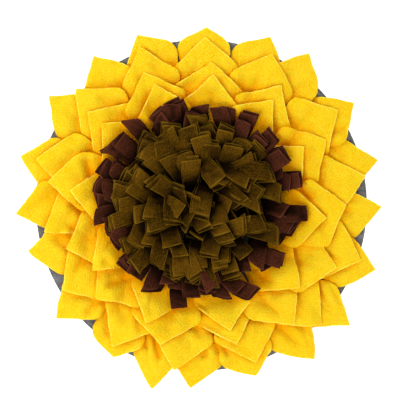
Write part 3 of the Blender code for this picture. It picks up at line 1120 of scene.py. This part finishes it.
def polar_fleece(name, lit, deep, painted_shade, sunk_at, rim, edge, unlike, spread, relief, through):
    """Polar fleece, knitted and brushed: matt, with a clumped nap over a faint knit rib. Its hollows
    get painted shade of a deeper colour, standing in for light that bounces between its fibres, and
    a cut edge shows a pale line, partly its paler inner fibres and partly a painted highlight.

    lit, deep: its colour on the nap's clumps and between them; hollow: the colour of its painted
    shade in the pile's hollows, whole where they are sunk_at deep; rim: the colour of the pale line
    at a cut edge, and edge how much of that a cut edge shows; unlike: how much its sheets differ in
    lightness at random, and how strongly the painted shade of strips' roots and shaded ends shows;
    spread: how
    far on either side of the middle shade deep and lit lie; relief: the nap's height in mm; through:
    the share of the light that goes into its fibres.
    """
    made, tree, shader = new_material(name)
    cut = add(tree, "ShaderNodeAttribute", attribute_name="cut").outputs["Vector"]
    tone_and_shade = add(tree, "ShaderNodeAttribute", attribute_name="tone_and_shade").outputs["Fac"]
    # How much painted shade each point gets.
    painted_shade_mask = add(tree, "ShaderNodeAttribute", attribute_name="painted_shade").outputs["Fac"]
    from_edge = add(tree, "ShaderNodeSeparateXYZ", {"Vector": cut}).outputs["Z"]
    place = add(tree, "ShaderNodeTexCoord").outputs["Object"]

    height, patches = fleece_relief(tree, cut, place)
    bump = add(
        tree,
        "ShaderNodeBump",
        {"Height": height, "Strength": 1, "Distance": relief * MM},
    )

    # The colour of the ground, from deep to lit.
    shade = add(
        tree,
        "ShaderNodeMath",
        {0: patches, 1: PATCH_SHARE, 2: height},
        operation="MULTIPLY_ADD",
    )
    toned_and_shaded = add(
        tree,
        "ShaderNodeMath",
        {0: tone_and_shade, 1: unlike, 2: shade.outputs[0]},
        operation="MULTIPLY_ADD",
    )
    how_lit = add(
        tree,
        "ShaderNodeMapRange",
        {
            "Value": toned_and_shaded.outputs[0],
            "From Min": MIDDLE_SHADE - spread,
            "From Max": MIDDLE_SHADE + spread,
        },
    )
    ground = add(
        tree,
        "ShaderNodeMix",
        {0: how_lit.outputs[0], 6: linear(deep), 7: linear(lit)},
        data_type="RGBA",
    )

    # Painted shade: a deeper colour where the pile hides the sky or covers the cloth.
    painted_shade_amount = add(
        tree,
        "ShaderNodeMapRange",
        {"Value": painted_shade_mask, "From Min": PAINTED_SHADE_FROM, "From Max": sunk_at},
    )
    with_painted_shade = add(
        tree,
        "ShaderNodeMix",
        {0: painted_shade_amount.outputs[0], 6: ground.outputs[2], 7: linear(painted_shade)},
        data_type="RGBA",
    )

    # The pale line at cut edges: partly paler fibres, partly a painted highlight.
    core_and_highlight = fleece_core_and_highlight(tree, from_edge, patches, edge)
    coloured = add(
        tree,
        "ShaderNodeMix",
        {0: core_and_highlight, 6: with_painted_shade.outputs[2], 7: linear(rim)},
        data_type="RGBA",
    )

    # Red light goes a few millimetres into the fibres and warms their shade, other light hardly.
    give(
        tree,
        shader,
        {
            "Base Color": coloured.outputs[2],
            "Normal": bump.outputs[0],
            "Subsurface Weight": through,
            "Subsurface Radius": LIGHT_GOES,
            "Subsurface Scale": LIGHT_REACH,
            "Roughness": 0.95,
            "Specular IOR Level": 0.02,
        },
    )
    return made


def needled_felt(name, pale, dark):
    """Needled felt of mixed pale and dark fibres: matt, with a faint bloom, and heathered."""
    made, tree, shader = new_material(name)
    place = add(tree, "ShaderNodeTexCoord").outputs["Object"]
    # Real tufts of fibres are about 1 mm apart. They are drawn about 3 mm apart, so that they show.
    tufts = add(
        tree,
        "ShaderNodeTexNoise",
        {
            "Vector": place,
            "Scale": noise_scale(FELT_TUFTS * TUFTS_COARSER),
            "Detail": 4,
            "Distortion": 1.5,
        },
    )
    clouds = add(
        tree,
        "ShaderNodeTexNoise",
        {"Vector": place, "Scale": noise_scale(FELT_CLOUDS), "Detail": 2},
    )
    both = add(
        tree,
        "ShaderNodeMath",
        {0: clouds.outputs["Fac"], 1: CLOUD_SHARE, 2: tufts.outputs["Fac"]},
        operation="MULTIPLY_ADD",
    )
    how_pale = add(
        tree,
        "ShaderNodeMapRange",
        {"Value": both.outputs[0], "From Min": HEATHER[0], "From Max": HEATHER[1]},
    )
    heather = add(
        tree,
        "ShaderNodeMix",
        {0: how_pale.outputs[0], 6: linear(dark), 7: linear(pale)},
        data_type="RGBA",
    )
    bump = add(
        tree,
        "ShaderNodeBump",
        {"Height": tufts.outputs["Fac"], "Strength": 0.6, "Distance": FELT_RELIEF},
    )
    give(
        tree,
        shader,
        {
            "Base Color": heather.outputs[2],
            "Normal": bump.outputs[0],
            "Roughness": 1,
            "Specular IOR Level": 0.1,
            "Sheen Weight": 0.1,
        },
    )
    return made


def plain_floor(name):
    """A smooth matt white ground, which gives the eye only the soft shadow of what lies on it."""
    made, tree, shader = new_material(name)
    give(
        tree,
        shader,
        {
            "Base Color": linear("F7F7F7"),
            "Emission Color": linear("FFFFFF"),
            "Emission Strength": FLOOR_GLOW,
            "Roughness": 0.9,
            "Specular IOR Level": 0.1,
        },
    )
    return made


# ---- the felt base ---------------------------------------------------------------------------

# How many straight sides stand for the base's round rim, and by how much its cut edge is rounded.
BASE_SIDES = 240
BASE_ROUNDING = 0.8 * MM


def felt_base(finish):
    """The round base: a felt disc with a soft cut edge."""
    form = bmesh.new()
    bmesh.ops.create_cone(
        form,
        cap_ends=True,
        segments=BASE_SIDES,
        radius1=BASE_RADIUS,
        radius2=BASE_RADIUS,
        depth=BASE_THICKNESS,
    )
    bmesh.ops.translate(form, verts=form.verts, vec=(0, 0, BASE_THICKNESS / 2))
    mesh = bpy.data.meshes.new("felt_base")
    form.to_mesh(mesh)
    form.free()
    mesh.materials.append(finish)
    made = bpy.data.objects.new("felt_base", mesh)
    bpy.context.scene.collection.objects.link(made)
    edge = made.modifiers.new("soft cut edge", "BEVEL")
    edge.width = BASE_ROUNDING
    edge.segments = 3
    edge.limit_method = "ANGLE"
    return made


# ---- stage -----------------------------------------------------------------------------------

FLOOR_SIZE = 8
ROOM_LIGHT = 0.92
# The main light comes from the lower left and high above, a weak one from the upper left.
LAMPS = (
    # name, place in metres, diameter in metres, power in watts
    ("key", (-0.85, -0.85, 2.2), 1.3, 26),
    ("fill", (-1.0, 1.1, 1.0), 1.2, 7),
)
# The lens and the film's width are in mm, the elevation in degrees and the distance in metres.
CAMERA_LENS = 100
CAMERA_FILM = 36
CAMERA_ELEVATION = 89
CAMERA_AWAY = 1.325
CAMERA_AIM = np.array((-1.7, 5.5, 20)) * MM


def stage_floor():
    """The pale floor that the mat lies on."""
    bpy.ops.mesh.primitive_plane_add(size=FLOOR_SIZE)
    floor = bpy.context.object
    floor.name = "floor"
    floor.data.materials.append(plain_floor("pale_floor"))


def stage_light():
    """The even light of a white room, and the lamps."""
    world = bpy.data.worlds.new("soft_room")
    bpy.context.scene.world = world
    world.use_nodes = True
    sky = world.node_tree.nodes["Background"]
    give(world.node_tree, sky, {"Color": (1, 1, 1, 1), "Strength": ROOM_LIGHT})

    for name, place, size, power in LAMPS:
        lamp = bpy.data.lights.new(name, "AREA")
        lamp.shape = "DISK"
        lamp.size = size
        lamp.energy = power
        light = bpy.data.objects.new(name, lamp)
        light.location = place
        light.rotation_euler = (-light.location).to_track_quat("-Z", "Y").to_euler()
        bpy.context.scene.collection.objects.link(light)


def stage_camera():
    """The camera, almost straight above the mat."""
    lens = bpy.data.cameras.new("camera")
    lens.lens = CAMERA_LENS
    lens.sensor_width = CAMERA_FILM
    camera = bpy.data.objects.new("camera", lens)
    bpy.context.scene.collection.objects.link(camera)
    up = math.radians(CAMERA_ELEVATION)
    camera.location = CAMERA_AIM + CAMERA_AWAY * np.array((0, -math.cos(up), math.sin(up)))
    camera.rotation_euler = (math.pi / 2 - up, 0, 0)
    bpy.context.scene.camera = camera
    bpy.context.scene.view_settings.view_transform = "Standard"


# ---- the mat ---------------------------------------------------------------------------------

# Bright yellow polar fleece, brushed on both sides: soft, full folds that turn to warm orange in
# their shade, as light goes on through the fibres and an orange painted shade deepens their hollows;
# its cut edges show a pale line, partly paler fibres and partly a painted highlight.
yellow = polar_fleece(
    "yellow_polar_fleece",
    lit="EDCA27",
    deep="E8B900",
    painted_shade="FBAA00",
    sunk_at=0.52,
    rim="FFF060",
    edge=0.6,
    unlike=0.04,
    spread=0.22,
    relief=1.2,
    through=0.32,
)
# Dark brown polar fleece, cut in strips: dull and nearly black in its hollows by painted shade,
# with its square ends drawn by a faint reddish line, partly paler fibres and partly a painted
# highlight.
brown = polar_fleece(
    "brown_polar_fleece",
    lit="572B1A",
    deep="261109",
    painted_shade="1D0D06",
    sunk_at=0.45,
    rim="723E2C",
    edge=0.45,
    unlike=0.12,
    spread=0.34,
    relief=0.7,
    through=0,
)
# Olive polar fleece, cut in strips: dull, coarsely speckled by its nap, with each page's edge
# drawn by a paler line, partly paler fibres and partly a painted highlight, over the dark gap
# behind it, deepened by painted shade.
olive = polar_fleece(
    "olive_polar_fleece",
    lit="5F4108",
    deep="221501",
    painted_shade="170D02",
    sunk_at=0.42,
    rim="826014",
    edge=0.5,
    unlike=0.18,
    spread=0.36,
    relief=0.95,
    through=0,
)
# Grey needled felt: a flat, speckled rim of pale and dark fibres that sets off the yellow.
grey = needled_felt("grey_needled_felt", pale="858587", dark="353537")

base = felt_base(grey)
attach(base, "root")
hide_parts("base_disc")

pile = Pile()
petals = lay_petals(pile, yellow)
strips = lay_strips(pile, {"brown": brown, "olive": olive})
# Painted shade: how much sky the pile hides from each point, and how far it is covered, noted on
# every petal and strip.
hidden = pile.hollows()
for piece in petals + strips:
    shade_hollows(piece, pile, hidden)

stage_floor()
stage_light()
stage_camera()
